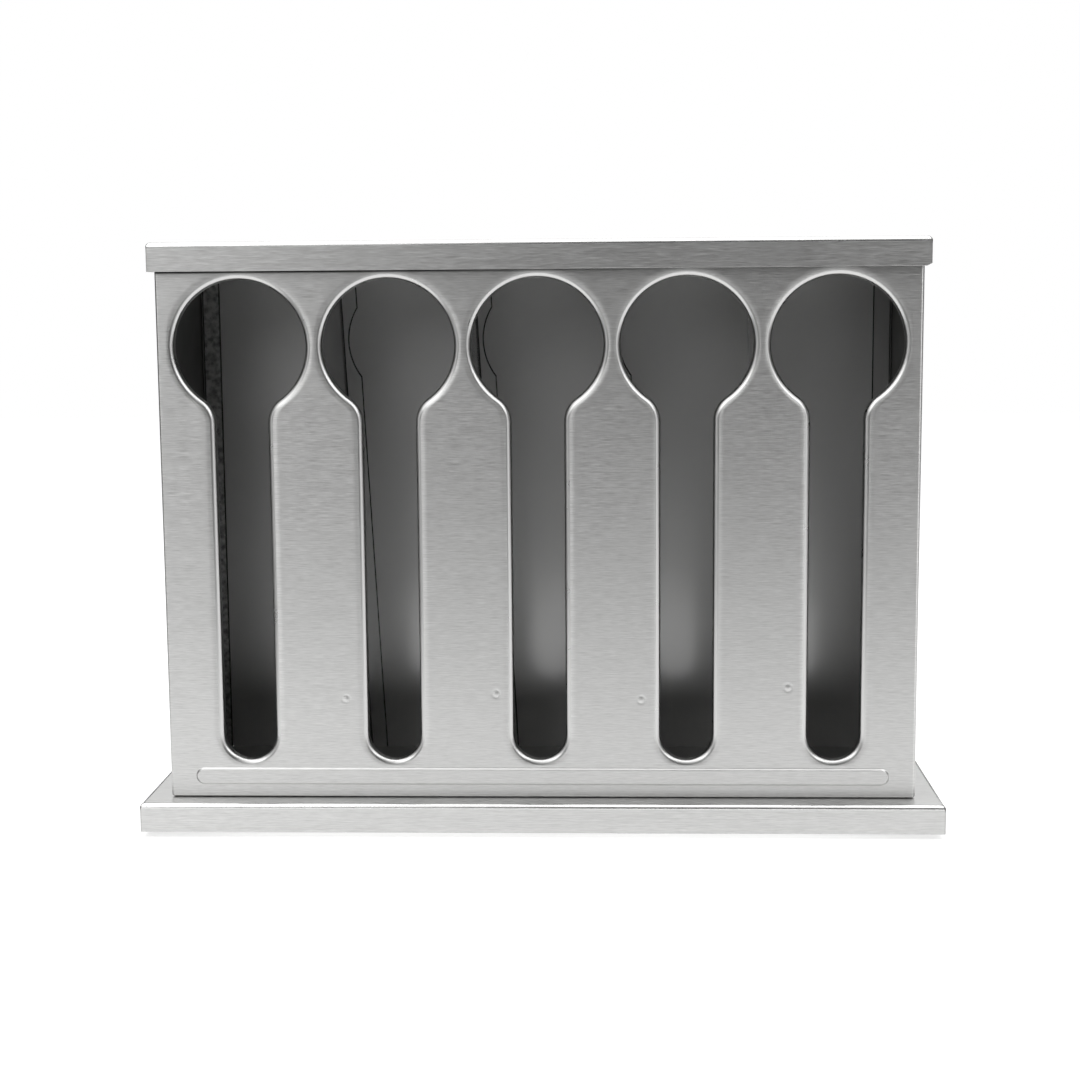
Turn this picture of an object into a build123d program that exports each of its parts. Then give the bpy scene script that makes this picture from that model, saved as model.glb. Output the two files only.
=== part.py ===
from build123d import *
import math
import os

# Cutlery dispenser in folded stainless sheet: five upright compartments behind keyhole openings,
# a lift-off lid, and a plinth on rubber feet. Millimetres, +Z up, the openings face -Y.
# The origin lies under the middle of the plinth, on the surface that the feet stand on.

# Sheet, and the outside radii of its folds
sheet = 1.0
body_fold = 2.0
tray_fold = 3.0
divider_fold = 1.6

# Body: front, sides and back are sheets folded at their edges
body_width = 500.0
body_depth = 138.0
body_height = 370.2
top_return = 12.0
bottom_return = 14.0
rear_return = 14.5
corner_slit = 0.8
seam_gap = 0.5
floor_gap = 0.3

# Keyhole openings: a round mouth over a slot, edged by a lip drawn inwards
keyhole_pitch = 97.7
mouth_radius = 43.9
mouth_drop = 66.6
slot_width = 35.8
slot_foot = 25.9
neck_radius = 18.0
rim_radius = 3.5
rim_depth = 6.0
rim_draft = 0.8
rim_steps = 2

# Pressed bead across the foot of the front, its ends kept clear of the upright folds
bead_inset = 17.0
bead_width = 12.2
bead_height = 15.0
bead_rise = 1.0
bead_slope = 2.0

# Dividers: channels that lean, with both flanges turned towards +X
divider_flange = 13.0
divider_lean = 0.05
divider_top_gap = 5.0
rim_gap = 1.5

# Lid: a tray upside down, loose over the top of the body
lid_gap = 3.0
lid_rest = 0.2
lid_lip = 19.0
lid_clip = 3.2
lid_clip_rise = 1.5

# Plinth: a second tray upside down, wider than the body
plinth_side = 18.0
plinth_front = 16.0
plinth_height = 19.6

# Feet and what holds them
foot_drop = 4.0
foot_top_radius = 13.0
foot_tip_radius = 11.0
foot_inset_side = 34.0
foot_inset_front = 35.0
screw_radius = 2.0
screw_play = 0.1
screw_head_radius = 4.0
screw_head_height = 3.0
washer_radius = 5.0
washer_height = 1.0
washer_play = 0.3
nut_flats = 7.0
nut_height = 3.2
nut_play = 0.5
head_recess = 3.0

# Levels and faces that follow from these
plinth_top = foot_drop + plinth_height
plinth_under = plinth_top - sheet
body_top = plinth_top + body_height
floor_under = plinth_top + sheet
floor_top = floor_under + sheet
mouth_level = body_top - mouth_drop
slot_drop = body_height - mouth_drop - slot_foot - slot_width / 2
keyhole_count = int(body_width // keyhole_pitch)
bead_length = body_width - 2 * bead_inset
front_face = -body_depth / 2
front_inside = front_face + sheet
back_face = body_depth / 2
back_inside = back_face - sheet
wrap_depth = body_depth - sheet
wrap_middle = -sheet / 2
inner_fold = body_fold - sheet
lid_level = body_top + lid_rest + sheet
plinth_width = body_width + 2 * plinth_side
plinth_depth = body_depth + 2 * plinth_front
front_plane = Plane(origin=(0, front_face, 0), x_dir=(1, 0, 0), z_dir=(0, -1, 0))
inside_plane = Plane(origin=(0, front_inside, 0), x_dir=(1, 0, 0), z_dir=(0, -1, 0))
keyhole_places = [((k - (keyhole_count - 1) / 2) * keyhole_pitch, mouth_level) for k in range(keyhole_count)]
divider_middles = [(k - (keyhole_count - 2) / 2) * keyhole_pitch for k in range(keyhole_count - 1)]

os.makedirs("parts", exist_ok=True)


def save(piece, name):
    # Labels a finished piece and writes it out under the same name.
    piece.label = name
    export_step(piece, f"parts/{name}.step")


def keyhole_lines(grow):
    # Outline of an opening about the middle of its mouth, grown by an even margin. The mouth runs into
    # the slot through two necks, each an arc tangent to both.
    mouth = mouth_radius + grow
    half = slot_width / 2 + grow
    neck = neck_radius - grow
    neck_x = half + neck
    neck_y = -math.sqrt((mouth + neck) ** 2 - neck_x**2)
    turn = math.degrees(math.atan2(-neck_y, neck_x))
    Line((half, -slot_drop), (half, neck_y))
    CenterArc((neck_x, neck_y), neck, 180, -turn)
    CenterArc((0, 0), mouth, -turn, 180 + 2 * turn)
    CenterArc((-neck_x, neck_y), neck, turn, -turn)
    Line((-half, neck_y), (-half, -slot_drop))
    CenterArc((0, -slot_drop), half, 180, 180)


def keyhole_prism(grow, depth):
    # The opening's outline as a plug that runs back from the front face.
    with BuildPart() as plug:
        with BuildSketch(front_plane):
            with BuildLine():
                keyhole_lines(grow)
            make_face()
        extrude(amount=-depth)
    return plug.part


def keyhole_rim():
    # The drawn lip: the sheet turns through a quarter circle into the body, then runs back with a slight
    # draft to the lip's edge. The turn is made of even steps, and the section is swept once round the opening.
    turns = [math.pi / 2 * step / rim_steps for step in range(rim_steps + 1)]
    face = [(rim_radius * (1 - math.sin(turn)), rim_radius * (1 - math.cos(turn))) for turn in turns]
    with BuildPart() as rim:
        with BuildLine(front_plane) as path:
            keyhole_lines(0)
        outline = path.wires()[0]
        section_plane = Plane(origin=outline @ 0, x_dir=(1, 0, 0), z_dir=outline % 0)
        with BuildSketch(section_plane):
            with BuildLine():
                Polyline(
                    *face,
                    (-rim_draft, rim_depth),
                    (sheet - rim_draft, rim_depth),
                    (sheet, rim_radius),
                    (rim_radius, sheet),
                    close=True,
                )
            make_face()
        sweep(path=outline)
    return rim.part


def bead(plane, rise):
    # A long stadium that stands out from a plane with sloping edges.
    with BuildPart() as ridge:
        with BuildSketch(plane):
            with Locations((0, plinth_top + bead_height)):
                SlotOverall(bead_length, bead_width)
        with BuildSketch(plane.offset(rise)):
            with Locations((0, plinth_top + bead_height)):
                SlotOverall(bead_length - 2 * bead_slope, bead_width - 2 * bead_slope)
        loft(ruled=True)
    return ridge.part


def divider_shift(level):
    # How far a divider stands to +X of the middle between two mouths at a given level.
    return (mouth_level - level) * divider_lean


# Form that the front and the sides share: a closed folded box, opened at the back, and at the top and the
# bottom up to the returns
rim_shape = keyhole_rim()
with BuildPart() as wrap:
    with BuildSketch(Plane((0, wrap_middle, plinth_top))):
        RectangleRounded(body_width, wrap_depth, body_fold)
    extrude(amount=body_height)
    fillet(wrap.faces().filter_by(Plane.XY).edges(), body_fold)
    with BuildSketch(Plane((0, wrap_middle, floor_under))):
        RectangleRounded(body_width - 2 * sheet, wrap_depth - 2 * sheet, inner_fold)
    extrude(amount=body_height - 2 * sheet, mode=Mode.SUBTRACT)
    with BuildSketch(Plane.XY.offset(plinth_top)):
        with Locations((0, back_inside)):
            Rectangle(body_width - 2 * rear_return, 2 * body_fold)
    extrude(amount=body_height, mode=Mode.SUBTRACT)
    for level, reach in ((plinth_top, bottom_return), (body_top - sheet, top_return)):
        mouth_depth = back_inside - front_face - reach
        with BuildSketch(Plane.XY.offset(level)):
            with Locations((0, front_face + reach)):
                Rectangle(body_width - 2 * reach, mouth_depth, align=(Align.CENTER, Align.MIN))
        extrude(amount=sheet, mode=Mode.SUBTRACT)
        # Where two returns meet at a front corner, a mitre slit runs from the fold into the mouth.
        for side in (-1, 1):
            slit_end = reach + corner_slit
            slit_length = (slit_end - body_fold) * math.sqrt(2)
            slit_middle = (slit_end + body_fold) / 2
            with BuildSketch(Plane.XY.offset(level)):
                with Locations((side * (body_width / 2 - slit_middle), front_face + slit_middle)):
                    Rectangle(slit_length, corner_slit, rotation=-45 * side)
            extrude(amount=sheet, mode=Mode.SUBTRACT)
    add(bead(front_plane, bead_rise))
    add(bead(inside_plane, bead_rise), mode=Mode.SUBTRACT)
    for place_x, place_z in keyhole_places:
        with Locations((place_x, 0, place_z)):
            add(keyhole_prism(rim_radius, sheet), mode=Mode.SUBTRACT)
            add(rim_shape)

# Plan of the front's share: the front with its two upright folds, and the returns between the mitres
fold_end = front_face + body_fold
return_end = front_face + max(top_return, bottom_return)
share_side = body_width / 2
share_fold = share_side - body_fold
share_return = share_fold - (return_end - fold_end)
with BuildPart() as front_share:
    with BuildSketch(Plane.XY.offset(plinth_top)):
        with BuildLine():
            Polyline(
                (-share_side, front_face - bead_rise),
                (share_side, front_face - bead_rise),
                (share_side, fold_end),
                (share_fold, fold_end),
                (share_return, return_end),
                (-share_return, return_end),
                (-share_fold, fold_end),
                (-share_side, fold_end),
                close=True,
            )
        make_face()
    extrude(amount=body_height)

# Front panel
with BuildPart() as front_panel:
    add(wrap.part)
    add(front_share.part, mode=Mode.INTERSECT)
save(front_panel.part, "front_panel")

# Side panels, butted to the front behind its upright folds
for name, half in (("left_side_panel", Keep.BOTTOM), ("right_side_panel", Keep.TOP)):
    with BuildPart() as side_panel:
        add(wrap.part)
        add(front_share.part, mode=Mode.SUBTRACT)
        split(bisect_by=Plane.YZ, keep=half)
    save(side_panel.part, name)

# Back panel: a flat sheet over the rear returns, with a tab folded forward along the top and the bottom
with BuildPart() as back_panel:
    tab_width = body_width - 2 * (rear_return + seam_gap)
    with BuildSketch(Plane.YZ) as tab_section:
        with Locations((back_face, plinth_top + body_height / 2)):
            Rectangle(top_return, body_height, align=(Align.MAX, Align.CENTER))
        fillet(tab_section.vertices().group_by(Axis.X)[-1], body_fold)
        with Locations((back_inside, plinth_top + body_height / 2)):
            Rectangle(
                top_return, body_height - 2 * sheet, align=(Align.MAX, Align.CENTER), mode=Mode.SUBTRACT
            )
    extrude(amount=tab_width / 2, both=True)
    with BuildSketch(Plane.XZ.offset(-back_inside)):
        with Locations((0, plinth_top + body_height / 2)):
            RectangleRounded(body_width - 2 * body_fold, body_height - 2 * body_fold, body_fold)
    extrude(amount=-sheet)
save(back_panel.part, "back_panel")

# Floor panel: rests on the bottom returns and runs back between the rear returns to the back panel
with BuildPart() as floor_panel:
    floor_edge = inner_fold + floor_gap
    floor_width = body_width - 2 * (sheet + floor_edge)
    floor_front = front_inside + floor_edge
    with BuildSketch(Plane.XY.offset(floor_under)):
        with Locations((0, floor_front)):
            Rectangle(
                floor_width,
                back_inside - sheet - floor_edge - floor_front,
                align=(Align.CENTER, Align.MIN),
            )
            Rectangle(
                body_width - 2 * (rear_return + seam_gap),
                back_inside - floor_front,
                align=(Align.CENTER, Align.MIN),
            )
    extrude(amount=sheet)
save(floor_panel.part, "floor_panel")


def channel_end(inset, radius):
    # Section of a divider's channel, or of the hollow inside it, with its two folds rounded.
    with BuildSketch() as end:
        with Locations((inset, 0)):
            Rectangle(divider_flange, back_inside - front_inside - 2 * inset, align=(Align.MIN, Align.CENTER))
        fillet(end.vertices().group_by(Axis.X)[0], radius)
    return end.sketch


# Dividers: a leaning channel each, with its flanges notched round beside the mouths
divider_height = body_top - sheet - divider_top_gap - floor_top
lean = Vector(-divider_lean, 0, 1)
for number, middle in enumerate(divider_middles, start=1):
    foot_x = middle + divider_shift(floor_top) - sheet / 2
    mouth_x = middle + keyhole_pitch / 2
    with BuildPart() as divider:
        with BuildSketch(Plane(origin=(foot_x, 0, floor_top), x_dir=(1, 0, divider_lean), z_dir=lean)):
            add(channel_end(0, divider_fold))
            add(channel_end(sheet, divider_fold - sheet), mode=Mode.SUBTRACT)
        extrude(amount=divider_height + divider_flange, both=True)
        split(bisect_by=Plane.XY.offset(floor_top), keep=Keep.TOP)
        split(bisect_by=Plane.XY.offset(floor_top + divider_height), keep=Keep.BOTTOM)
        for side_x in (middle - keyhole_pitch / 2, mouth_x):
            with Locations((side_x, 0, mouth_level)):
                add(keyhole_prism(rim_radius + rim_gap, rim_depth + rim_gap), mode=Mode.SUBTRACT)
        with BuildSketch(Plane.XZ.offset(-back_inside)):
            with Locations((mouth_x, mouth_level)):
                Circle(mouth_radius)
        extrude(amount=2 * divider_fold, mode=Mode.SUBTRACT)
    save(divider.part, f"divider_{number}")


def tray_block(width, depth, height, level, radius):
    # A box under a level with the edges of its top rounded.
    with BuildPart() as block:
        with BuildSketch(Plane.XY.offset(level - height)):
            Rectangle(width, depth)
        extrude(amount=height)
        fillet(block.faces().sort_by(Axis.Z)[-1].edges(), radius)
    return block.part


def tray(width, depth, height, level):
    # A shallow folded tray upside down: its top lies at a level, its lips hang from rounded folds.
    with BuildPart() as shell:
        add(tray_block(width, depth, height, level, tray_fold))
        add(
            tray_block(
                width - 2 * sheet, depth - 2 * sheet, height - sheet, level - sheet, tray_fold - sheet
            ),
            mode=Mode.SUBTRACT,
        )
    return shell.part


# Lid: its lower front right corner is clipped
with BuildPart() as lid:
    lid_width = body_width + 2 * (lid_gap + sheet)
    lid_depth = body_depth + 2 * (lid_gap + sheet)
    add(tray(lid_width, lid_depth, lid_lip, lid_level))
    with BuildSketch(Plane.XZ.offset(lid_depth / 2)):
        with BuildLine():
            Polyline(
                (lid_width / 2, lid_level - lid_lip),
                (lid_width / 2, lid_level - lid_lip + lid_clip_rise),
                (lid_width / 2 - lid_clip, lid_level - lid_lip),
                close=True,
            )
        make_face()
    extrude(amount=-lid_clip, mode=Mode.SUBTRACT)
save(lid.part, "lid")

# Plinth
save(tray(plinth_width, plinth_depth, plinth_height, plinth_top), "base_plinth")

# Feet: turned rubber, recessed below for the screw's head and above for the nut
foot_reach = plinth_width / 2 - foot_inset_side
foot_row = plinth_depth / 2 - foot_inset_front
foot_grid = GridLocations(2 * foot_reach, 2 * foot_row, 2, 2)
washer_level = head_recess + screw_head_height
washer_seat = washer_level + washer_height
nut_level = plinth_under - nut_height
nut_recess = nut_flats / math.sqrt(3) + nut_play
with BuildPart() as foot:
    with BuildSketch(Plane.XZ):
        with BuildLine():
            Polyline(
                (screw_radius + screw_play, washer_seat),
                (washer_radius + washer_play, washer_seat),
                (washer_radius + washer_play, 0),
                (foot_tip_radius, 0),
                (foot_top_radius, plinth_under),
                (nut_recess, plinth_under),
                (nut_recess, nut_level),
                (screw_radius + screw_play, nut_level),
                close=True,
            )
        make_face()
    revolve(axis=Axis.Z)
for row, name in ((-1, "front_feet"), (1, "rear_feet")):
    with BuildPart() as feet:
        with Locations((-foot_reach, row * foot_row), (foot_reach, row * foot_row)):
            add(foot.part)
    save(feet.part, name)

# Foot screws
with BuildPart() as foot_screws:
    with BuildSketch(Plane.XY.offset(head_recess)):
        with foot_grid:
            Circle(screw_head_radius)
    extrude(amount=screw_head_height)
    with BuildSketch(Plane.XY.offset(washer_level)):
        with foot_grid:
            Circle(screw_radius)
    extrude(amount=plinth_under - washer_level - screw_play)
save(foot_screws.part, "foot_screws")

# Foot washers
with BuildPart() as foot_washers:
    with BuildSketch(Plane.XY.offset(washer_level)):
        with foot_grid:
            Circle(washer_radius)
            Circle(screw_radius + screw_play, mode=Mode.SUBTRACT)
    extrude(amount=washer_height)
save(foot_washers.part, "foot_washers")

# Foot nuts, welded under the plinth
with BuildPart() as foot_nuts:
    with BuildSketch(Plane.XY.offset(nut_level)):
        with foot_grid:
            RegularPolygon(nut_flats / 2, 6, major_radius=False)
            Circle(screw_radius + screw_play, mode=Mode.SUBTRACT)
    extrude(amount=nut_height)
save(foot_nuts.part, "foot_nuts")
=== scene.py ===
import math

import bmesh
import bpy
import numpy as np
from mathutils import Matrix, Vector


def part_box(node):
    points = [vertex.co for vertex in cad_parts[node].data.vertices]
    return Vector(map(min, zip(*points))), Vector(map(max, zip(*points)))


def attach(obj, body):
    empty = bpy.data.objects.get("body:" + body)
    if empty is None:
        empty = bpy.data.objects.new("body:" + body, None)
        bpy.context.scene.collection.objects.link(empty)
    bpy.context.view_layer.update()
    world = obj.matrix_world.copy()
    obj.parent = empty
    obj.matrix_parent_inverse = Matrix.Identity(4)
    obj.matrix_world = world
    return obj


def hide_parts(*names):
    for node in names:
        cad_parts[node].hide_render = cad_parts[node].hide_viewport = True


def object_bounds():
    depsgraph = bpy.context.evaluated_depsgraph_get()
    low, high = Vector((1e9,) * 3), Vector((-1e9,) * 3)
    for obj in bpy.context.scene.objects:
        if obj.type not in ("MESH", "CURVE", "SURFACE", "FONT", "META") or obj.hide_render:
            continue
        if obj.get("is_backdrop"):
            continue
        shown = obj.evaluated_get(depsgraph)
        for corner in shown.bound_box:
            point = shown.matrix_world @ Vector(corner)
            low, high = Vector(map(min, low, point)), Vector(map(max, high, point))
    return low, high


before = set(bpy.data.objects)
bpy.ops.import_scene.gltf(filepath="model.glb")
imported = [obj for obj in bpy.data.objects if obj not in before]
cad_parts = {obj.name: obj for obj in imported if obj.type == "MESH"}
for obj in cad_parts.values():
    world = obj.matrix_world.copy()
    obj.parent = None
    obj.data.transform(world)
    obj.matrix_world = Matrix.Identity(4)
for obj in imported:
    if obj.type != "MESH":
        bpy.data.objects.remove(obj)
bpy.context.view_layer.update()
mm = 0.001  # points are worked out in millimetres and put into meshes in metres
print("frame loaded,", len(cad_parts), "nodes")


def boxOf(node):
    # lowest and highest corner of a node, in millimetres
    low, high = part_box(node)
    return np.array(low) / mm, np.array(high) / mm


# colours and nodes

def linear(hexColour):
    # sRGB to linear light: a straight line near black, a power of 2.4 above it
    values = np.array([int(hexColour[i:i + 2], 16) for i in (1, 3, 5)]) / 255
    shade = np.where(values <= 0.04045, values / 12.92, ((values + 0.055) / 1.055) ** 2.4)
    return (*shade.tolist(), 1.0)


def addNode(tree, kind, settings=None, inputs=None, result=0):
    # Adds one shader node, sets its properties and fills its inputs: an output is linked, a hex colour is
    # turned linear. Gives the output that is asked for, by number or by name.
    node = tree.nodes.new("ShaderNode" + kind)
    for key, value in (settings or {}).items():
        setattr(node, key, value)
    for key, value in (inputs or {}).items():
        if isinstance(value, bpy.types.NodeSocket):
            tree.links.new(value, node.inputs[key])
        else:
            node.inputs[key].default_value = linear(value) if isinstance(value, str) else value
    return node.outputs[result] if len(node.outputs) else None


def newMaterial(name):
    material = bpy.data.materials.new(name)
    material.use_nodes = True
    material.node_tree.nodes.clear()
    return material, material.node_tree


# materials

inColour = {"data_type": "RGBA"}  # a Mix node then has its colours at 6 and 7 and its result at 2
noiseSpan = (0.3, 0.7)            # most of a noise lies between these

brushedLook = {
    # the grey below is the colour of painted shade: the shadow in a tray's corner seams and the painted
    # reflection line atop its folds
    "dark": "#bebebd", "light": "#d6d6d5", "paintedShade": "#303030",
    "lineWidth": 0.42, "lineLength": 8.5,    # belt marks, drawn wider than real ones so that they show
    "bandWidth": 0.7, "bandLength": 32.0,    # longer streaks from the belt
    "bandShare": 0.45, "spread": (0.5, 0.95), "detail": 2.0, "ragged": 0.6,
    "roughLow": 0.31, "roughHigh": 0.41, "grain": 0.75, "relief": 0.035, "strength": 0.6,
    "tip": 0.02,                             # keeps the grain's direction off a face's own normal
}


def lidShadowLine(tree, place, look):
    # A painted shadow under the lid's lip, drawn as a dark line on the body: 1 near one level, 0 beyond the
    # line's width, and weaker towards the right, where the lip's shade shows less.
    part = addNode(tree, "SeparateXYZ", {}, {0: place}).node.outputs
    above = addNode(tree, "Math", {"operation": "SUBTRACT"}, {0: part["Z"], 1: look["lidShadowLevel"] * mm})
    away = addNode(tree, "Math", {"operation": "ABSOLUTE"}, {0: above})
    line = addNode(tree, "MapRange", {}, {
        "Value": away, "From Min": look["lidShadowWidth"] * mm, "From Max": look["lidShadowCore"] * look["lidShadowWidth"] * mm})
    fade = addNode(tree, "MapRange", {}, {
        "Value": part["X"], "From Min": look["lidShadowEnds"][0] * mm, "From Max": look["lidShadowEnds"][1] * mm,
        "To Min": look["lidShadowFaint"]})
    return addNode(tree, "Math", {"operation": "MULTIPLY"}, {0: line, 1: fade})


def trayPaintedMarks(tree, place, look):
    # The seam at a tray's corners: along it, the distances from the long and the short faces are alike. A
    # painted shadow darkens it where the fold is, and fades down the lip. A faint painted reflection, a dark
    # line, runs where the fold meets the flat top. Gives these painted dark marks, and the fold itself, whose
    # stretched skin is glossier and gets a painted highlight.
    part = addNode(tree, "SeparateXYZ", {}, {0: place}).node.outputs
    gaps = {}
    for number, axis, half in ((0, "X", look["halfWidth"]), (1, "Y", look["halfDepth"])):
        aside = addNode(tree, "Math", {"operation": "ABSOLUTE"}, {0: part[axis]})
        gaps[number] = addNode(tree, "Math", {"operation": "SUBTRACT"}, {0: half * mm, 1: aside})
    near = addNode(tree, "Math", {"operation": "MINIMUM"}, gaps)
    uneven = addNode(tree, "Math", {"operation": "SUBTRACT"}, gaps)
    apart = addNode(tree, "Math", {"operation": "ABSOLUTE"}, {0: uneven})
    fold, top = look["seamDepth"], look["top"]
    masks = {  # a distance, where the mask starts and ends on it, and its values there
        "line": (apart, look["seamWidth"], look["seamCore"] * look["seamWidth"], 0.0, 1.0),
        "offTop": (near, fold, look["seamEnd"] * fold, 0.0, 1.0),
        "downLip": (part["Z"], top - look["lipEnd"] * fold, top - fold, look["lipShade"], 1.0),
        "topRise": (near, look["topStart"] * fold, look["topFull"] * fold, 0.0, look["paintedTopLine"]),
        "topFall": (near, look["topEnd"] * fold, fold, 0.0, 1.0),
        "bend": (part["Z"], top - look["bendStart"] * fold, top - look["bendFull"] * fold, 0.0, 1.0),
    }
    for mask, (value, start, end, low, high) in masks.items():
        masks[mask] = addNode(tree, "MapRange", {}, {
            "Value": value, "From Min": start * mm, "From Max": end * mm, "To Min": low, "To Max": high})
    for mask, first, second in (("upper", "line", "offTop"), ("seam", "upper", "downLip"),
                                ("top", "topRise", "topFall"), ("glossAndHighlight", "bend", "offTop")):
        masks[mask] = addNode(tree, "Math", {"operation": "MULTIPLY"}, {0: masks[first], 1: masks[second]})
    darkened = addNode(tree, "Math", {"operation": "MAXIMUM"}, {0: masks["seam"], 1: masks["top"]})
    return darkened, masks["glossAndHighlight"]


def brushedSteel(name, look, overTray):
    # Stainless sheet ground with a belt along its length: highlights smear across the grain, and fine
    # lines lie one above the other. On the upright sheets the grain is level; on a tray it runs along X.
    material, tree = newMaterial(name)
    place = addNode(tree, "TexCoord", result="Object")
    streaks = []
    for width, length in ((look["lineWidth"], look["lineLength"]), (look["bandWidth"], look["bandLength"])):
        along, across = 1 / (length * mm), 1 / (width * mm)
        spread = addNode(tree, "Mapping", {}, {
            "Vector": place, "Scale": (along, across if overTray else along, across)})
        streaks.append(addNode(tree, "TexNoise", {}, {
            "Vector": spread, "Scale": 1.0, "Detail": look["detail"], "Roughness": look["ragged"]}))
    lines, bands = streaks
    both = addNode(tree, "Math", {"operation": "MULTIPLY_ADD"}, {0: bands, 1: look["bandShare"], 2: lines})
    shade = addNode(tree, "MapRange", {}, {
        "Value": both, "From Min": look["spread"][0], "From Max": look["spread"][1]})
    colour = addNode(tree, "Mix", inColour, {0: shade, 6: look["dark"], 7: look["light"]}, 2)
    rough = addNode(tree, "MapRange", {}, {
        "Value": shade, "To Min": look["roughLow"], "To Max": look["roughHigh"]})
    if overTray:
        darkened, glossAndHighlight = trayPaintedMarks(tree, place, look)
        # painted highlight: the fold's colour lightens; its lower roughness is real
        colour = addNode(tree, "Mix", inColour, {0: glossAndHighlight, 6: colour, 7: look["glossAndHighlight"]}, 2)
        smoother = addNode(tree, "Math", {"operation": "MULTIPLY_ADD"}, {
            0: glossAndHighlight, 1: look["foldRough"] - 1, 2: 1.0})
        rough = addNode(tree, "Math", {"operation": "MULTIPLY"}, {0: rough, 1: smoother})
        facing = addNode(tree, "NewGeometry", result="Normal")
        smear = addNode(tree, "VectorMath", {"operation": "CROSS_PRODUCT"}, {
            0: facing, 1: (1.0, 0.0, look["tip"])})
    else:
        # painted shadow under the lid's lip
        darkened = lidShadowLine(tree, place, look)
        smear = addNode(tree, "CombineXYZ", {}, {"X": 0.0, "Y": look["tip"], "Z": 1.0})
    # painted shade: the colour darkens towards the painted shade colour where the mask says
    colour = addNode(tree, "Mix", inColour, {0: darkened, 6: colour, 7: look["paintedShade"]}, 2)
    relief = addNode(tree, "Bump", {}, {
        "Strength": look["strength"], "Distance": look["relief"] * mm, "Height": lines})
    steel = addNode(tree, "BsdfPrincipled", {}, {
        "Base Color": colour, "Metallic": 1.0, "Roughness": rough,
        "Anisotropic": look["grain"], "Tangent": smear, "Normal": relief})
    addNode(tree, "OutputMaterial", {}, {"Surface": steel})
    return material


satinLook = {
    "dark": "#d0d0cf", "light": "#dcdcdb", "cloud": 60.0, "cloudDetail": 4.0, "ragged": 0.55,
    "spread": (0.0, 1.0), "roughLow": 0.44, "roughHigh": 0.52,
    "pit": 0.9, "pitDetail": 2.0, "relief": 0.004, "strength": 0.25,
    "skin": 1.0, "skinIor": 1.8, "skinRough": 0.16,
    # the near-black below colours the painted shadow lines along folds and free edges
    "paintedShade": "#1c1c1c", "lines": (), "lineCore": 0.6, "lean": 0.0, "webShade": "", "webFacing": 0.7,
}


def edgeShadowLines(tree, place, look):
    # Painted shadow along folds and free edges: 1 on a line and 0 beyond its width. A line lies at a distance
    # from the middle of the object, from a divider's leaning middle, or from the middle of a mouth.
    part = addNode(tree, "SeparateXYZ", {}, {0: place}).node.outputs
    ways = {"across": addNode(tree, "Math", {"operation": "ABSOLUTE"}, {0: part["X"]})}
    if look["lean"]:
        pitch = keyhole["pitch"] * mm
        wrapped = addNode(tree, "Math", {"operation": "WRAP"}, {0: part["X"], 1: pitch, 2: 0.0})
        local = addNode(tree, "Math", {"operation": "SUBTRACT"}, {0: wrapped, 1: pitch / 2})
        above = addNode(tree, "Math", {"operation": "SUBTRACT"}, {0: part["Z"], 1: mouthLevel * mm})
        aside = addNode(tree, "Math", {"operation": "SUBTRACT"}, {0: local, 1: pitch / 2})
        square = addNode(tree, "Math", {"operation": "MULTIPLY"}, {0: above, 1: above})
        square = addNode(tree, "Math", {"operation": "MULTIPLY_ADD"}, {0: aside, 1: aside, 2: square})
        ways["leaning"] = addNode(tree, "Math", {"operation": "MULTIPLY_ADD"}, {
            0: above, 1: look["lean"], 2: local})
        ways["round"] = addNode(tree, "Math", {"operation": "SQRT"}, {0: square})
    total = 0.0
    for kind, reach, width in look["lines"]:
        off = addNode(tree, "Math", {"operation": "SUBTRACT"}, {0: ways[kind], 1: reach * mm})
        away = addNode(tree, "Math", {"operation": "ABSOLUTE"}, {0: off})
        line = addNode(tree, "MapRange", {}, {
            "Value": away, "From Min": width * mm, "From Max": look["lineCore"] * width * mm})
        total = addNode(tree, "Math", {"operation": "MAXIMUM"}, {0: total, 1: line})
    return total


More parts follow.
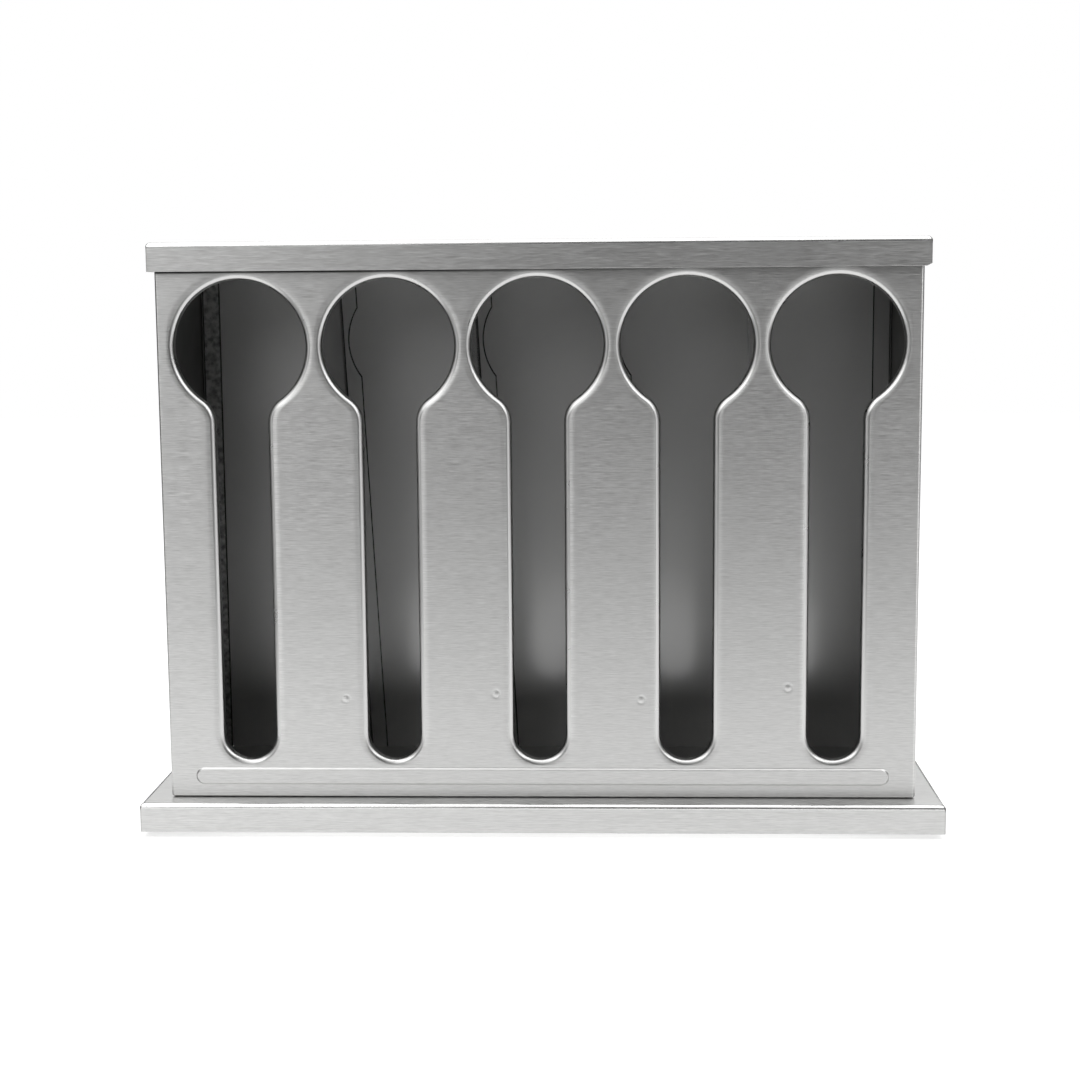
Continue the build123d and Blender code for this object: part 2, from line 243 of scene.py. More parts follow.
def satinSteel(name, look):
    # Cold-rolled sheet as the mill leaves it: a broad, cloudy sheen under a fainter, clearer reflection, with
    # hardly any grain. A divider's web, which faces sideways, may get a darker colour than its flanges as
    # painted shade, and painted shadow lines may run along folds and edges.
    material, tree = newMaterial(name)
    place = addNode(tree, "TexCoord", result="Object")
    clouds = addNode(tree, "TexNoise", {}, {
        "Vector": place, "Scale": 1 / (look["cloud"] * mm), "Detail": look["cloudDetail"],
        "Roughness": look["ragged"]})
    pits = addNode(tree, "TexNoise", {}, {
        "Vector": place, "Scale": 1 / (look["pit"] * mm), "Detail": look["pitDetail"]})
    share = addNode(tree, "MapRange", {}, {
        "Value": clouds, "From Min": look["spread"][0], "From Max": look["spread"][1]})
    colour = addNode(tree, "Mix", inColour, {0: share, 6: look["dark"], 7: look["light"]}, 2)
    # painted shade: faces that point sideways take a darker colour
    if look["webShade"]:
        facing = addNode(tree, "NewGeometry", result="Normal")
        sideways = addNode(tree, "SeparateXYZ", {}, {0: facing}, "X")
        either = addNode(tree, "Math", {"operation": "ABSOLUTE"}, {0: sideways})
        onShadedWeb = addNode(tree, "Math", {"operation": "GREATER_THAN"}, {0: either, 1: look["webFacing"]})
        colour = addNode(tree, "Mix", inColour, {0: onShadedWeb, 6: colour, 7: look["webShade"]}, 2)
    # painted shadow lines along folds and free edges
    if look["lines"]:
        lines = edgeShadowLines(tree, place, look)
        colour = addNode(tree, "Mix", inColour, {0: lines, 6: colour, 7: look["paintedShade"]}, 2)
    rough = addNode(tree, "MapRange", {}, {
        "Value": clouds, "From Min": noiseSpan[0], "From Max": noiseSpan[1],
        "To Min": look["roughLow"], "To Max": look["roughHigh"]})
    relief = addNode(tree, "Bump", {}, {
        "Strength": look["strength"], "Distance": look["relief"] * mm, "Height": pits})
    steel = addNode(tree, "BsdfPrincipled", {}, {
        "Base Color": colour, "Metallic": 1.0, "Roughness": rough, "Normal": relief,
        "Coat Weight": look["skin"], "Coat IOR": look["skinIor"], "Coat Roughness": look["skinRough"]})
    addNode(tree, "OutputMaterial", {}, {"Surface": steel})
    return material


# Sheet stretched over a die: the grain is rubbed out, so that the lip shines more than the face around it.
rimLook = {"dark": "#bebebd", "light": "#c6c6c5", "mark": 14.0, "detail": 3.0, "span": noiseSpan,
           "roughLow": 0.27, "roughHigh": 0.32}
# The edge that the shears leave: torn, so that it hardly shines, and darker still as painted shade for the gaps
# beside the sheets' edges.
cutEdgeShadeLook = {"dark": "#454544", "light": "#565655", "mark": 6.0, "detail": 3.0, "span": noiseSpan,
            "roughLow": 0.50, "roughHigh": 0.60}
# Zinc plate: a cool grey with small patches that differ a little in gloss.
zincLook = {"dark": "#9ea3a6", "light": "#bcc0c2", "mark": 2.0, "detail": 2.0, "span": (0.0, 1.0),
            "roughLow": 0.25, "roughHigh": 0.4}


def patchyMetal(name, look):
    # Bare metal without grain, whose colour and gloss differ from patch to patch.
    material, tree = newMaterial(name)
    place = addNode(tree, "TexCoord", result="Object")
    marks = addNode(tree, "TexNoise", {}, {
        "Vector": place, "Scale": 1 / (look["mark"] * mm), "Detail": look["detail"]})
    colour = addNode(tree, "Mix", inColour, {0: marks, 6: look["dark"], 7: look["light"]}, 2)
    rough = addNode(tree, "MapRange", {}, {
        "Value": marks, "From Min": look["span"][0], "From Max": look["span"][1],
        "To Min": look["roughLow"], "To Max": look["roughHigh"]})
    metal = addNode(tree, "BsdfPrincipled", {}, {"Base Color": colour, "Metallic": 1.0, "Roughness": rough})
    addNode(tree, "OutputMaterial", {}, {"Surface": metal})
    return material


rubberLook = {"dark": "#121212", "light": "#1f1f1e", "grit": 1.2, "detail": 3.0, "relief": 0.05,
              "strength": 0.4, "rough": 0.62}


def mouldedRubber(name, look):
    # Black rubber from a blasted mould: matt, with a fine even grit.
    material, tree = newMaterial(name)
    place = addNode(tree, "TexCoord", result="Object")
    grit = addNode(tree, "TexNoise", {}, {
        "Vector": place, "Scale": 1 / (look["grit"] * mm), "Detail": look["detail"]})
    colour = addNode(tree, "Mix", inColour, {0: grit, 6: look["dark"], 7: look["light"]}, 2)
    relief = addNode(tree, "Bump", {}, {
        "Strength": look["strength"], "Distance": look["relief"] * mm, "Height": grit})
    rubber = addNode(tree, "BsdfPrincipled", {}, {
        "Base Color": colour, "Roughness": look["rough"], "Normal": relief})
    addNode(tree, "OutputMaterial", {}, {"Surface": rubber})
    return material


# the grey here and the lidShadow settings give the painted shadow under the lid's lip
uprightLook = dict(brushedLook, paintedShade="#4c4c4b", lidShadowLevel=boxOf("lid")[0][2], lidShadowWidth=1.8, lidShadowCore=0.4,
                   lidShadowEnds=(120.0, -100.0), lidShadowFaint=0.12)
uprightSteel = brushedSteel("brushed stainless, upright sheets", uprightLook, False)
insideSteel = satinSteel("cold-rolled stainless", satinLook)
# darker than the cold-rolled sheet: partly the sheet's real dull side, partly painted shade over the inside of
# the front and the floor
dullLook = dict(satinLook, dark="#8e8e8d", light="#a2a2a1", cloud=25.0, roughLow=0.40, roughHigh=0.50,
                skin=0.0)
dullSteel = satinSteel("dull side of the sheet", dullLook)
# a still darker copy for the insides of the side sheets: painted shade
shadedWallSteel = satinSteel("dull side of the side sheets", dict(dullLook, dark="#626261", light="#727271"))
lipSteel = patchyMetal("drawn stainless lip", rimLook)
cutSteelWithShade = patchyMetal("sheared stainless edge with painted shade", cutEdgeShadeLook)
footRubber = mouldedRubber("moulded black rubber", rubberLook)
fixingZinc = patchyMetal("zinc-plated steel", zincLook)
print("materials made")


# sheets

def newSkin():
    return {"points": [], "faces": [], "finish": [], "count": 0}


def gridQuads(rows, columns, closed=False):
    # the corner numbers of a grid's quads; a closed grid joins its last column to its first
    index = np.arange(rows * columns).reshape(rows, columns)
    if closed:
        index = np.concatenate([index, index[:, :1]], axis=1)
    corners = [index[:-1, :-1], index[:-1, 1:], index[1:, 1:], index[1:, :-1]]
    return np.stack(corners, axis=-1).reshape(-1, 4)


def addGrid(skin, points, facing, finish=0, closed=False):
    # A grid of points, rows by columns, becomes quads, turned so that their summed normals face a direction.
    quads = gridQuads(*points.shape[:2], closed)
    flat = points.reshape(-1, 3)
    normals = np.cross(flat[quads[:, 2]] - flat[quads[:, 0]], flat[quads[:, 3]] - flat[quads[:, 1]])
    if normals.sum(axis=0) @ np.array(facing, float) < 0:
        quads = quads[:, ::-1]
    skin["faces"].append(quads + skin["count"])
    skin["points"].append(flat)
    skin["finish"].append(np.full(len(quads), finish))
    skin["count"] += len(flat)


# Finishes come in pairs, outside and inside: the first is for plain faces, the second for lips and rear
# returns. Those of the cut edges follow.
sheetLook = {"join": 0.01, "edgeSteps": 2, "sharp": 50.0, "insideFinish": 1, "secondFinish": 2, "cutFinish": 4}


def makeSheet(name, skin, look, finishes, body, nodes):
    # The skin is the sheet's outside. Its grids are joined, it is thickened inwards, and its edges are eased.
    mesh = bpy.data.meshes.new(name)
    mesh.from_pydata(np.concatenate(skin["points"]) * mm, [], np.concatenate(skin["faces"]))
    mesh.polygons.foreach_set("material_index", np.concatenate(skin["finish"]).astype(np.int32))
    joined = bmesh.new()
    joined.from_mesh(mesh)
    bmesh.ops.remove_doubles(joined, verts=joined.verts, dist=sheetLook["join"] * mm)
    bmesh.ops.dissolve_degenerate(joined, edges=joined.edges, dist=sheetLook["join"] * mm)
    joined.to_mesh(mesh)
    joined.free()
    mesh.shade_smooth()
    piece = bpy.data.objects.new(name, mesh)
    bpy.context.scene.collection.objects.link(piece)
    for finish in finishes:
        mesh.materials.append(finish)
    wall = piece.modifiers.new("wall", "SOLIDIFY")
    wall.thickness = look["sheet"] * mm
    wall.offset = -1.0
    wall.use_even_offset = True
    wall.material_offset = sheetLook["insideFinish"]
    wall.material_offset_rim = sheetLook["cutFinish"]
    edge = piece.modifiers.new("eased edges", "BEVEL")
    edge.width = look["edge"] * mm
    edge.segments = sheetLook["edgeSteps"]
    edge.limit_method = "ANGLE"
    edge.angle_limit = math.radians(sheetLook["sharp"])
    flat = piece.modifiers.new("flat faces", "WEIGHTED_NORMAL")
    flat.keep_sharp = True
    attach(piece, body)
    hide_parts(*nodes)
    print(name, len(mesh.polygons), "faces before thickness")
    return piece


shell = {
    "sheet": 1.0, "fold": 2.0, "topReturn": 12.0, "bottomReturn": 14.0, "rearReturn": 14.5, "slit": 0.8,
    "seam": 0.1, "standOff": 0.6, "edge": 0.16,
}
keyhole = {
    "count": 5, "pitch": 97.7, "mouth": 43.9, "mouthDrop": 66.6, "slot": 35.8, "slotFoot": 25.9, "neck": 18.0,
    "frameGap": 3.9, "dish": 3.8, "dishShare": 0.9, "dishTurn": 12.0, "lipStart": 2.9,
    "lipArcs": ((4.8, 45.0), (3.1, 85.0)), "lipDepth": 6.0,
}
bead = {"length": 466.0, "width": 12.2, "height": 15.0, "rise": 1.0, "slope": 1.7, "rim": 0.2, "flat": 0.8}
welds = {"offsets": (-32.3, -29.3, -30.2, -30.5), "heights": (68.0, 71.5, 67.5, 75.7), "margin": 4.0,
         "rise": 0.25, "dome": 1.5, "press": 0.22, "ring": 2.4, "groove": 0.6}
grids = {  # how many steps each stretch of a grid has
    "fold": 8, "wall": 6, "rearReturn": 3, "belowWelds": 4, "weldBand": 24, "aboveWelds": 8, "neck": 8,
    "mouthSide": 12, "mouthTop": 22, "footWidth": 40, "footCorner": 3, "lipArc": 5, "beadEnd": 7,
    "beadSlope": 8, "face": ((0.42, 3), (0.86, 15), (1.0, 6)),  # from a cell's border to its lip
}

frontLow, frontHigh = boxOf("front_panel")
plinthTop, bodyTop = frontLow[2], frontHigh[2]
bodyBottom = plinthTop + shell["standOff"]
frontFace = frontLow[1] + bead["rise"]
sideFace = frontHigh[0]
backFace = boxOf("left_side_panel")[1][1]
fold = shell["fold"]
foldX, foldFront, foldBack = sideFace - fold, frontFace + fold, backFace - fold
wallLow, wallTop = bodyBottom + fold, bodyTop - fold
returns = ((bodyTop, shell["topReturn"], 1), (bodyBottom, shell["bottomReturn"], -1))
mitre = shell["slit"] / math.sqrt(2)
mouthLevel = bodyTop - keyhole["mouthDrop"]
slotDrop = mouthLevel - plinthTop - keyhole["slotFoot"] - keyhole["slot"] / 2
halfPitch = keyhole["pitch"] / 2
frameLow = plinthTop + keyhole["slotFoot"] - keyhole["frameGap"]
frameFoot = mouthLevel - slotDrop - frameLow
frameTop = wallTop - mouthLevel
cellMiddles = (np.arange(keyhole["count"]) - (keyhole["count"] - 1) / 2) * keyhole["pitch"]


def foldSteps(start, end, steps=grids["fold"]):
    # even steps of an angle, given in degrees
    return np.radians(np.linspace(start, end, steps + 1))


def roundedPatch(inner, plan, levels, lift, radius):
    # Part of a box with rounded edges: a point of the inner box plus the radius along the outward direction.
    # inner and plan are the inner point and the level direction of each column, levels and lift are the height
    # and the direction's angle above level of each row.
    level = np.cos(lift)[:, None, None] * plan[None]
    across = inner[None] + radius * level
    height = levels + radius * np.sin(lift)
    height = np.broadcast_to(height[:, None, None], across.shape[:2] + (1,))
    return np.concatenate([across, height], axis=2)


def foldRows(wallZ):
    # rows of a wall, of the fold above it and of the fold below it, as heights and angles above level
    up, down = foldSteps(0, 90), foldSteps(-90, 0)
    return ((wallZ, np.zeros(len(wallZ))), (np.full(len(up), wallTop), up), (np.full(len(down), wallLow), down))


def stretch(*stops):
    # values along a run: each stop is (end value, number of steps to it), from a first value
    values = [np.array([stops[0]])]
    for end, steps in stops[1:]:
        values.append(np.linspace(values[-1][-1], end, steps + 1)[1:])
    return np.concatenate(values)


def keyholeRun():
    # Where the outline's points lie along its six stretches: heights on the straight sides, closer together
    # where the weld marks are, and angles on the round stretches, with one in each corner of the cell.
    neckX = (keyhole["slot"] + 2 * keyhole["neck"]) / 2
    turn = math.acos(neckX / (keyhole["mouth"] + keyhole["neck"]))
    corner = math.atan2(frameTop, halfPitch)
    weldLow = min(welds["heights"]) + plinthTop - mouthLevel - welds["margin"]
    weldTop = max(welds["heights"]) + plinthTop - mouthLevel + welds["margin"]
    neckZ = -math.sqrt((keyhole["mouth"] + keyhole["neck"]) ** 2 - neckX ** 2)
    side = stretch(-slotDrop, (weldLow, grids["belowWelds"]), (weldTop, grids["weldBand"]),
                   (neckZ, grids["aboveWelds"]))
    aside = grids["mouthSide"]
    mouth = stretch(-turn, (0.0, aside), (corner, aside), (math.pi - corner, grids["mouthTop"]),
                    (math.pi, aside), (math.pi + turn, aside))
    footX = np.linspace(halfPitch, -halfPitch, grids["footWidth"] + 1)
    foot = np.sort(np.arctan2(frameFoot, -footX))
    foot = np.concatenate([stretch(0.0, (foot[0], grids["footCorner"]))[:-1], foot,
                           stretch(foot[-1], (math.pi, grids["footCorner"]))[1:]])
    return {
        "side": (side + slotDrop) / (neckZ + slotDrop),
        "neck": np.linspace(0, 1, grids["neck"] + 1),
        "mouth": (mouth + turn) / (math.pi + 2 * turn),
        "foot": foot / math.pi,
    }


def keyholeLoop(grow, run):
    # The opening's outline about the middle of its mouth, grown by a margin: up the right side of the slot,
    # round the right neck, the mouth and the left neck, down the left side and round the foot.
    mouth = keyhole["mouth"] + grow
    half = keyhole["slot"] / 2 + grow
    neck = keyhole["neck"] - grow
    neckX = half + neck
    neckZ = -math.sqrt((mouth + neck) ** 2 - neckX ** 2)
    turn = math.atan2(-neckZ, neckX)

    def arc(x, z, radius, start, end, share):
        angle = start + (end - start) * share
        return np.stack([x + radius * np.cos(angle), z + radius * np.sin(angle)], axis=1)[:-1]

    height = -slotDrop + (neckZ + slotDrop) * run["side"]
    right = np.stack([np.full_like(height, half), height], axis=1)
    left = right[::-1] * (-1, 1)
    return np.concatenate([
        right[:-1],
        arc(neckX, neckZ, neck, math.pi, math.pi - turn, run["neck"]),
        arc(0, 0, mouth, -turn, math.pi + turn, run["mouth"]),
        arc(-neckX, neckZ, neck, turn, 0, run["neck"]),
        left[:-1],
        arc(0, -slotDrop, half, math.pi, 2 * math.pi, run["foot"]),
    ])


def cellFrame(loop):
    # The point of the cell's straight border that belongs to each outline point: level with it beside the slot
    # and the mouth's lower half, and on a ray from the mouth's or the foot's middle elsewhere.
    x, z = loop[:, 0], loop[:, 1]
    upper = z > 0
    lower = z < -slotDrop
    centre = np.where(lower, -slotDrop, 0.0)
    reach = np.where(lower, frameFoot, frameTop)
    tiny = 1e-9  # no division by nought
    ray = np.minimum(halfPitch / np.maximum(np.abs(x), tiny), reach / np.maximum(np.abs(z - centre), tiny))
    onRay = np.stack([x * ray, centre + (z - centre) * ray], axis=1)
    levelWith = np.stack([np.sign(x) * halfPitch, z], axis=1)
    return np.where((upper | lower)[:, None], onRay, levelWith)


def lipProfile():
    # Section of the drawn lip: arcs that turn into the body one after the other, then a straight run to its
    # edge. Gives the way gone inwards and the depth.
    inwards, depths, turn = [0.0], [0.0], keyhole["dishTurn"]
    for radius, end in keyhole["lipArcs"]:
        steps = foldSteps(turn, end, grids["lipArc"])
        inwards.extend(inwards[-1] + radius * (np.sin(steps[1:]) - np.sin(steps[0])))
        depths.extend(depths[-1] + radius * (np.cos(steps[0]) - np.cos(steps[1:])))
        turn = end
    onward = keyhole["lipDepth"] - depths[-1]
    inwards.append(inwards[-1] + onward / math.tan(math.radians(turn)))
    depths.append(keyhole["lipDepth"])
    return np.array(inwards), np.array(depths)


def dishDepth(gap, away):
    # The sheet is drawn in a little before it turns: an arc, tangent to the flat, that has tilted by a few
    # degrees where the lip begins. It is as wide as the gap to the next opening lets it be.
    tilt = math.radians(keyhole["dishTurn"])
    width = np.minimum(keyhole["dish"], keyhole["dishShare"] * gap)
    radius = width / math.sin(tilt)
    return radius - np.sqrt(radius ** 2 - np.clip(width - away, 0, None) ** 2)


def weldRise(x, z):
    # Spot welds: each is a low dome, a bell curve over the distance, in a ring pressed in by the electrode.
    total = np.zeros_like(x)
    for middle, offset, height in zip(cellMiddles[1:], welds["offsets"], welds["heights"]):
        away = np.hypot(x - middle - offset, z - plinthTop - height)
        total += welds["rise"] * np.exp(-(away / welds["dome"]) ** 2)
        total -= welds["press"] * np.exp(-((away - welds["ring"]) / welds["groove"]) ** 2)
    return total


def beadGrid(columns, rows):
    # The pressed bead: each ray goes from the border of its strip to the nearest point of the bead's middle
    # line. The rise along it is a smooth step: three squares of the way up the slope less two cubes.
    ends, across = len(rows) - 1, len(columns) - 1
    frameX = np.concatenate([np.full(ends, foldX), columns[:0:-1], np.full(ends, -foldX), columns[:-1]])
    frameZ = np.concatenate([rows[:-1], np.full(across, frameLow), rows[:0:-1], np.full(across, wallLow)])
    straight = (bead["length"] - bead["width"]) / 2
    middleX = np.clip(frameX, -straight, straight)
    middleZ = plinthTop + bead["height"]
    away = np.stack([frameX - middleX, frameZ - middleZ], axis=1)
    reach = np.hypot(away[:, 0], away[:, 1])
    half = bead["width"] / 2
    way = np.linspace(0, 1, grids["beadSlope"] + 1)
    top = (half - bead["slope"]) * bead["flat"]
    out = np.concatenate([[half + bead["rim"]], half - bead["slope"] * way, [top, 0.0]])
    rise = np.concatenate([[0.0, 0.0], bead["rise"] * way ** 2 * (3 - 2 * way), [bead["rise"]] * 2])
    reaches = np.concatenate([reach[None], np.repeat(out[:, None], len(reach), axis=1)])
    ring = reaches[:, :, None] * (away / reach[:, None])[None]
    x = ring[..., 0] + middleX
    y = np.broadcast_to(frontFace - rise[:, None], x.shape)
    return np.stack([x, y, ring[..., 1] + middleZ], axis=2)


def frontPanel():
    # Each opening sits in a cell, a grid between the cell's straight border and the lip, whose section is
    # carried along the outline. Strips, the bead, the folds and the returns join the borders.
    skin = newSkin()
    run = keyholeRun()
    edge = keyholeLoop(keyhole["lipStart"], run)
    border = cellFrame(edge)
    gap = np.hypot(*(edge - border).T)
    shares = stretch(0.0, *grids["face"])
    flat = border[None] + (edge - border)[None] * shares[:, None, None]
    dish = dishDepth(gap[None], gap[None] * (1 - shares[:, None]))
    inwards, depths = lipProfile()
    lip = np.stack([keyholeLoop(keyhole["lipStart"] - way, run) for way in inwards])
    lipDepths = depths[:, None] + dish[-1][None] * (1 - depths[:, None] / keyhole["lipDepth"])
    for middle in cellMiddles:
        x, z = flat[..., 0] + middle, flat[..., 1] + mouthLevel
        addGrid(skin, np.stack([x, frontFace + dish - weldRise(x, z), z], axis=2), (0, -1, 0), 0, True)
        x, z = lip[..., 0] + middle, lip[..., 1] + mouthLevel
        addGrid(skin, np.stack([x, frontFace + lipDepths, z], axis=2), (0, -1, 0),
                sheetLook["secondFinish"], True)

    def borderRun(axis, level):
        # the border points on one straight edge of a cell, in order
        return np.unique(np.round(border[np.isclose(border[:, axis], level), 1 - axis], 6))

    def wholeRun(cell):
        # one cell's points, repeated over all cells and carried on to the folds
        everyCell = [cell + middle for middle in cellMiddles]
        return np.unique(np.round(np.concatenate([[-foldX], *everyCell, [foldX]]), 5))

    sideZ = borderRun(0, halfPitch) + mouthLevel
    topX = wholeRun(borderRun(1, frameTop))
    lowX = wholeRun(borderRun(1, -slotDrop - frameFoot))
    for side in (-1, 1):
        x = np.array([cellMiddles[-1] + halfPitch, foldX]) * side
        strip = np.stack(np.broadcast_arrays(x[None], frontFace, sideZ[:, None]), axis=2)
        addGrid(skin, strip, (0, -1, 0))
    beadZ = np.linspace(wallLow, frameLow, grids["beadEnd"] + 1)
    addGrid(skin, beadGrid(lowX, beadZ), (0, -1, 0), 0, True)

    # folds at the top, the bottom and the sides, with their round corners
    rows = foldRows(np.unique(np.round(np.concatenate([beadZ, sideZ]), 5)))
    for columns, (levels, lift), upwards in zip((topX, lowX), rows[1:], (1, -1)):
        inner = np.stack([columns, np.full_like(columns, foldFront)], axis=1)
        plan = np.repeat([[0.0, -1.0]], len(columns), axis=0)
        addGrid(skin, roundedPatch(inner, plan, levels, lift, fold), (0, -1, upwards))
    turn = foldSteps(0, 90)
    for side in (-1, 1):
        plan = np.stack([side * np.sin(turn), -np.cos(turn)], axis=1)
        inner = np.repeat([[side * foldX, foldFront]], len(turn), axis=0)
        for levels, lift in rows:
            addGrid(skin, roundedPatch(inner, plan, levels, lift, fold), (side, -1, 0))

    # returns, with mitred ends
    for columns, (level, reach, facing) in zip((topX, lowX), returns):
        inwards = np.array([fold, reach])
        limit = sideFace - inwards - mitre
        x = np.clip(columns[None], -limit[:, None], limit[:, None])
        y = np.broadcast_to(frontFace + inwards[:, None], x.shape)
        addGrid(skin, np.stack([x, y, np.full_like(x, level)], axis=2), (0, 0, facing))
    return skin


def sidePanel(side):
    # One side: an upright wall with a fold and a return along its top, its bottom and its rear edge.
    skin = newSkin()
    y = np.linspace(foldFront + shell["seam"], foldBack, grids["wall"] + 1)
    turn = foldSteps(0, 90)
    returnX = np.linspace(foldX, sideFace - shell["rearReturn"], grids["rearReturn"] + 1)
    runs = (  # inner points and outward directions of the wall, the rear fold and the rear return
        (np.stack([np.full_like(y, side * foldX), y], axis=1),
         np.repeat([[side, 0.0]], len(y), axis=0), (side, 0, 0), 0),
        (np.repeat([[side * foldX, foldBack]], len(turn), axis=0),
         np.stack([side * np.cos(turn), np.sin(turn)], axis=1), (side, 1, 0), 0),
        (np.stack([side * returnX, np.full_like(returnX, foldBack)], axis=1),
         np.repeat([[0.0, 1.0]], len(returnX), axis=0), (0, 1, 0), sheetLook["secondFinish"]),
    )
    for inner, plan, facing, finish in runs:
        for levels, lift in foldRows(np.linspace(wallLow, wallTop, grids["wall"] + 1)):
            addGrid(skin, roundedPatch(inner, plan, levels, lift, fold), facing, finish)
    for level, reach, facing in returns:
        inwards = np.array([fold, reach])
        limit = frontFace + inwards + mitre
        rows = np.clip(y[None], limit[:, None], foldBack)
        x = np.broadcast_to(side * (sideFace - inwards)[:, None], rows.shape)
        addGrid(skin, np.stack([x, rows, np.full_like(rows, level)], axis=2), (0, 0, facing))
    return skin


cutEdges = [cutSteelWithShade] * 3  # the two outside finishes use the first and the last
outside = [uprightSteel, dullSteel, lipSteel, dullSteel, *cutEdges]
makeSheet("frontPanel", frontPanel(), shell, outside, "body", ["front_panel"])
# its lines are painted shadow along the return's free edge and its fold
returnLook = dict(satinLook, dark="#bcbcbb", light="#c6c6c5",
                  lines=(("across", sideFace - shell["rearReturn"], 1.1), ("across", foldX, 0.9)))
markedLook = dict(returnLook, dark="#8a8a89", light="#cececd", cloud=4.0, spread=(0.33, 0.6),
                  roughLow=0.45, roughHigh=0.6)
returnSteels = {-1: satinSteel("weld-marked stainless", markedLook),
                1: satinSteel("cold-rolled return", returnLook)}
for side, name, node in ((-1, "leftSide", "left_side_panel"), (1, "rightSide", "right_side_panel")):
    outside = [uprightSteel, shadedWallSteel, uprightSteel, returnSteels[side], *cutEdges]
    makeSheet(name, sidePanel(side), shell, outside, "body", [node])


tray = {
    "sheet": 1.0, "fold": 3.0, "lidClip": 3.2, "lidClipRise": 1.5, "edge": 0.25, "foldSteps": 10,
    "longSteps": 8, "shortSteps": 4,
}
trayLook = dict(
    # the fold's lighter colour is a painted highlight, foldRough its real lower roughness; the seam and the top
    # line are painted shade
    brushedLook, seamWidth=0.9, seamCore=0.5, seamDepth=tray["fold"], glossAndHighlight="#efefee", foldRough=0.6,
    lipShade=0.3, paintedTopLine=0.22,
    # where the marks begin and end, in folds
    seamEnd=0.85, lipEnd=1.5, topStart=0.4, topFull=0.55, topEnd=1.15, bendStart=1.1, bendFull=0.9)


def trayPatch(width, depth, top, bottom, clip, rise):
    # A tray upside down: each lip goes down from a rounded fold, and its ends are mitred, so that a point's
    # distance from the corner shrinks as the fold leaves the lip's plane. One corner may be clipped.
    skin = newSkin()
    turns = foldSteps(90, 0, tray["foldSteps"])
    inset = np.concatenate([tray["fold"] * (1 - np.cos(turns)), [0.0]])
    height = np.concatenate([top - tray["fold"] * (1 - np.sin(turns)), [bottom]])
    longShare = np.linspace(-1, 1, tray["longSteps"] + 1)
    shortShare = np.linspace(-1, 1, tray["shortSteps"] + 1)
    halfLong, halfShort = width / 2 - inset[:, None], depth / 2 - inset[:, None]
    for away in (-1, 1):
        clipped = np.minimum(halfLong, width / 2 - clip)
        x = np.concatenate([longShare[:-1] * halfLong, clipped, halfLong], axis=1)
        y = np.broadcast_to(away * halfShort, x.shape)
        z = np.repeat(height[:, None], x.shape[1], axis=1)
        if away < 0:
            z[-1, -1] += rise
        addGrid(skin, np.stack([x, y, z], axis=2), (0, away, 0))
        y = shortShare * halfShort
        x = np.broadcast_to(away * halfLong, y.shape)
        z = np.repeat(height[:, None], y.shape[1], axis=1)
        if away > 0:
            z[-1, 0] += rise
        addGrid(skin, np.stack([x, y, z], axis=2), (away, 0, 0))
    flatHalf = width / 2 - tray["fold"]
    x = np.append(longShare[:-1] * flatHalf, [min(flatHalf, width / 2 - clip), flatHalf])
    y = shortShare * (depth / 2 - tray["fold"])
    addGrid(skin, np.stack(np.broadcast_arrays(x[None], y[:, None], top), axis=2), (0, 0, 1))
    return skin


for name, node, body, clip, rise in (("lidTray", "lid", "lid", tray["lidClip"], tray["lidClipRise"]),
                                     ("plinthTray", "base_plinth", "body", 0.0, 0.0)):
    low, high = boxOf(node)
    skin = trayPatch(high[0] - low[0], high[1] - low[1], high[2], low[2], clip, rise)
    traySteel = brushedSteel("brushed stainless, " + name,
                             dict(trayLook, halfWidth=high[0], halfDepth=high[1], top=high[2]), True)
    outside = [traySteel, insideSteel, traySteel, insideSteel, cutSteelWithShade]
    makeSheet(name, skin, tray, outside, body, [node])


# pieces that keep their own shape

divider = {"lean": 0.05, "free": 12.5, "fold": 1.1}
# a lighter copy of the cold-rolled sheet for the back panel and the dividers: painted light
paintedLightLook = dict(satinLook, dark="#dcdcdb", light="#e6e6e5")
# the darker web colour is painted shade on the divider's sideways faces, and the lines are painted shadow along
# the flange's free edge, its fold and round the mouth
dividerLook = dict(paintedLightLook, lean=divider["lean"], webShade="#8c8c8b", lines=(
    ("leaning", divider["free"], 1.0), ("leaning", divider["fold"], 0.5), ("round", keyhole["mouth"], 1.1)))
dividerSteel = satinSteel("cold-rolled divider", dividerLook)
backSteel = satinSteel("cold-rolled back", paintedLightLook)
# the floor panel takes the darker copy as painted shade at the bottom of the compartments
finishes = {"back_panel": backSteel, "floor_panel": dullSteel, "front_feet": footRubber,
            "rear_feet": footRubber, "foot_screws": fixingZinc, "foot_washers": fixingZinc,
            "foot_nuts": fixingZinc}
finishes.update({f"divider_{k}": dividerSteel for k in range(1, keyhole["count"])})
for node, finish in finishes.items():
    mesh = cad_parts[node].data
    mesh.materials.clear()
    mesh.materials.append(finish)
print("inner pieces finished")


# studio, in metres

studio = {"floorHalf": 4.0, "floor": "#f0f0f0", "floorRough": 0.9, "floorLift": 0.6, "world": 1.0, "fill": 0.45,
          "white": "#ffffff", "aim": (0.0, 0.0, 0.2)}
softboxes = {
    "softboxLeft": {"place": (-1.10, -1.55, 1.45), "size": (1.1, 1.4), "radiance": 1.7},
    "softboxRight": {"place": (1.40, -1.40, 1.45), "size": (1.0, 1.4), "radiance": 1.7},
    "softboxTop": {"place": (0.0, -0.10, 2.0), "size": (2.2, 1.8), "radiance": 1.6},
}
